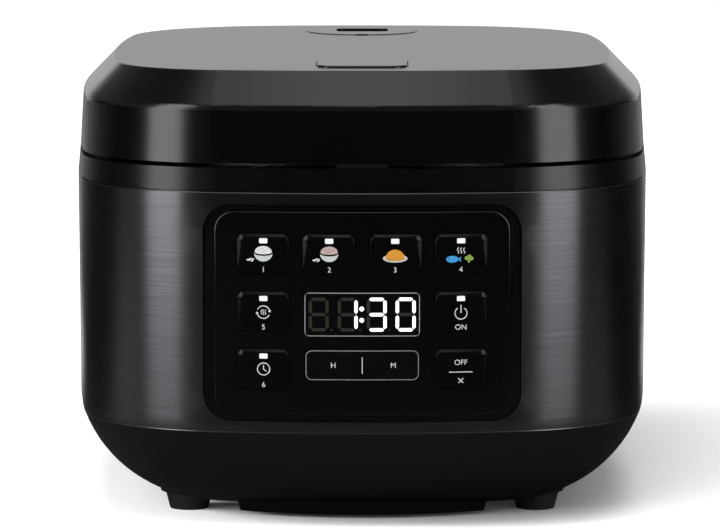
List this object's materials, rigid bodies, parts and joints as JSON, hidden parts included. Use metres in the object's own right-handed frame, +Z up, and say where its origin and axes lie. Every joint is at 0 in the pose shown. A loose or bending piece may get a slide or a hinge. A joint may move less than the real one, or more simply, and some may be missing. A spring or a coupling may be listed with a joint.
{
  "type": "rice cooker",
  "caption": "Electric rice cooker with a rounded-rectangular black body, hinged chamfered lid with push-button latch, steam vent, removable-style pot and front key panel.",
  "frame": {"origin": "on the floor under the middle of the body", "axes": "+Z up, the key panel faces -Y, the lid hinge runs along X at +Y"},
  "size_m": [0.275, 0.3454, 0.2125],
  "materials": {
    "moulded_black": "fine moulded texture",
    "satin_black_rim": "satin",
    "lid_black": "satin gloss",
    "black_steel": "brushed, black tinted",
    "panel_black": "gloss",
    "smoked_window": "smoked clear",
    "feet_rubber": "matt",
    "silicone": "translucent grey",
    "zinc_steel": "zinc plated",
    "spring_steel": "drawn wire",
    "latch_polymer": "natural acetal",
    "liner_steel": "satin",
    "cast_heater": "cast and faced",
    "warming_foil": "foil",
    "coated_pot": "dark non-stick coat",
    "inner_lid_metal": "satin",
    "fuse_body": "plain",
    "circuit_board": "solder mask",
    "board_parts": "moulded",
    "carrier_plastic": "moulded",
    "inlet_plastic": "moulded",
    "pin_brass": "bright"
  },
  "bodies": {
    "base": {"base_housing": "moulded_black", "board_bracket": "carrier_plastic", "board_carrier": "carrier_plastic", "bottom_cover": "moulded_black", "bottom_cover_screws": "zinc_steel", "carrier_screws": "zinc_steel", "control_board": "circuit_board", "display_module": "board_parts", "display_window": "smoked_window", "heater_element": "cast_heater", "heater_plate": "cast_heater", "hinge_housing": "moulded_black", "hinge_pin": "zinc_steel", "hinge_screws": "zinc_steel", "hinge_spring": "spring_steel", "indicator_lamps": "board_parts", "inlet_pins": "pin_brass", "inlet_socket": "inlet_plastic", "inner_liner": "liner_steel", "liner_screws": "zinc_steel", "outer_sleeve": "black_steel", "panel_bezel": "panel_black", "panel_plate": "panel_black", "power_board": "circuit_board", "power_components": "board_parts", "rubber_feet": "feet_rubber", "sensor_bracket": "zinc_steel", "sensor_spring": "spring_steel", "strike_plate": "zinc_steel", "tact_switches": "board_parts", "thermal_fuse": "fuse_body", "upper_rim": "satin_black_rim", "warming_band": "warming_foil"},
    "lid": {"lid_cover": "lid_black", "lid_frame": "moulded_black", "lid_screws": "zinc_steel", "inner_lid": "inner_lid_metal", "lid_gasket": "silicone", "inner_lid_knob": "silicone", "steam_duct": "silicone", "hook_pin": "zinc_steel", "hook_spring": "spring_steel"},
    "steam_vent": {"steam_cap": "lid_black", "steam_tray": "lid_black"},
    "open_button": {"open_button": "lid_black"},
    "latch": {"latch_hook": "latch_polymer"},
    "pot": {"inner_pot": "coated_pot"},
    "sensor": {"temperature_sensor": "inner_lid_metal", "sensor_clip": "zinc_steel"},
    "rocker": {"time_rocker": "panel_black"},
    "program_key_1_cap": {"program_key_1": "panel_black"},
    "program_key_2_cap": {"program_key_2": "panel_black"},
    "program_key_3_cap": {"program_key_3": "panel_black"},
    "program_key_4_cap": {"program_key_4": "panel_black"},
    "keep_warm_key_cap": {"keep_warm_key": "panel_black"},
    "start_key_cap": {"start_key": "panel_black"},
    "timer_key_cap": {"timer_key": "panel_black"},
    "cancel_key_cap": {"cancel_key": "panel_black"}
  },
  "joints": [
    {"name": "lid_hinge", "type": "hinge", "parent": "base", "child": "lid", "pos_m": [0, 0.159, 0.177], "axis": [-1, 0, 0], "range_deg": [0, 85], "deforming": ["hinge_spring"]},
    {"name": "button_press", "type": "slide", "parent": "lid", "child": "open_button", "axis": [0, 0, -1], "range_m": [0, 0.0035], "stiffness_N_per_m": 900, "springref_m": -0.002},
    {"name": "latch_turn", "type": "hinge", "parent": "lid", "child": "latch", "pos_m": [0, -0.156, 0.187], "axis": [-1, 0, 0], "range_deg": [0, 8.2], "deforming": ["hook_spring"]},
    {"name": "steam_vent_lift", "type": "slide", "parent": "lid", "child": "steam_vent", "axis": [0, 0, 1], "range_m": [0, 0.03]},
    {"name": "pot_turn", "type": "hinge", "parent": "base", "child": "pot", "pos_m": [0, 0, 0.05], "axis": [0, 0, 1], "continuous": true},
    {"name": "sensor_press", "type": "slide", "parent": "base", "child": "sensor", "axis": [0, 0, -1], "range_m": [0, 0.003], "stiffness_N_per_m": 1500, "springref_m": -0.002, "deforming": ["sensor_spring"]},
    {"name": "time_rock", "type": "hinge", "parent": "base", "child": "rocker", "pos_m": [0, -0.163, 0.0787], "axis": [0, 0, 1], "range_deg": [-1.5, 1.5], "stiffness_Nm_per_rad": 1},
    {"name": "program_key_1_press", "type": "slide", "parent": "base", "child": "program_key_1_cap", "axis": [0, 1, 0], "range_m": [0, 0.0008], "stiffness_N_per_m": 1500},
    {"name": "program_key_2_press", "type": "slide", "parent": "base", "child": "program_key_2_cap", "axis": [0, 1, 0], "range_m": [0, 0.0008], "stiffness_N_per_m": 1500},
    {"name": "program_key_3_press", "type": "slide", "parent": "base", "child": "program_key_3_cap", "axis": [0, 1, 0], "range_m": [0, 0.0008], "stiffness_N_per_m": 1500},
    {"name": "program_key_4_press", "type": "slide", "parent": "base", "child": "program_key_4_cap", "axis": [0, 1, 0], "range_m": [0, 0.0008], "stiffness_N_per_m": 1500},
    {"name": "keep_warm_key_press", "type": "slide", "parent": "base", "child": "keep_warm_key_cap", "axis": [0, 1, 0], "range_m": [0, 0.0008], "stiffness_N_per_m": 1500},
    {"name": "start_key_press", "type": "slide", "parent": "base", "child": "start_key_cap", "axis": [0, 1, 0], "range_m": [0, 0.0008], "stiffness_N_per_m": 1500},
    {"name": "timer_key_press", "type": "slide", "parent": "base", "child": "timer_key_cap", "axis": [0, 1, 0], "range_m": [0, 0.0008], "stiffness_N_per_m": 1500},
    {"name": "cancel_key_press", "type": "slide", "parent": "base", "child": "cancel_key_cap", "axis": [0, 1, 0], "range_m": [0, 0.0008], "stiffness_N_per_m": 1500}
  ],
  "couplings": [
    {"joint": "latch_turn", "follows": "button_press", "rad_per_m": 38.571}
  ]
}
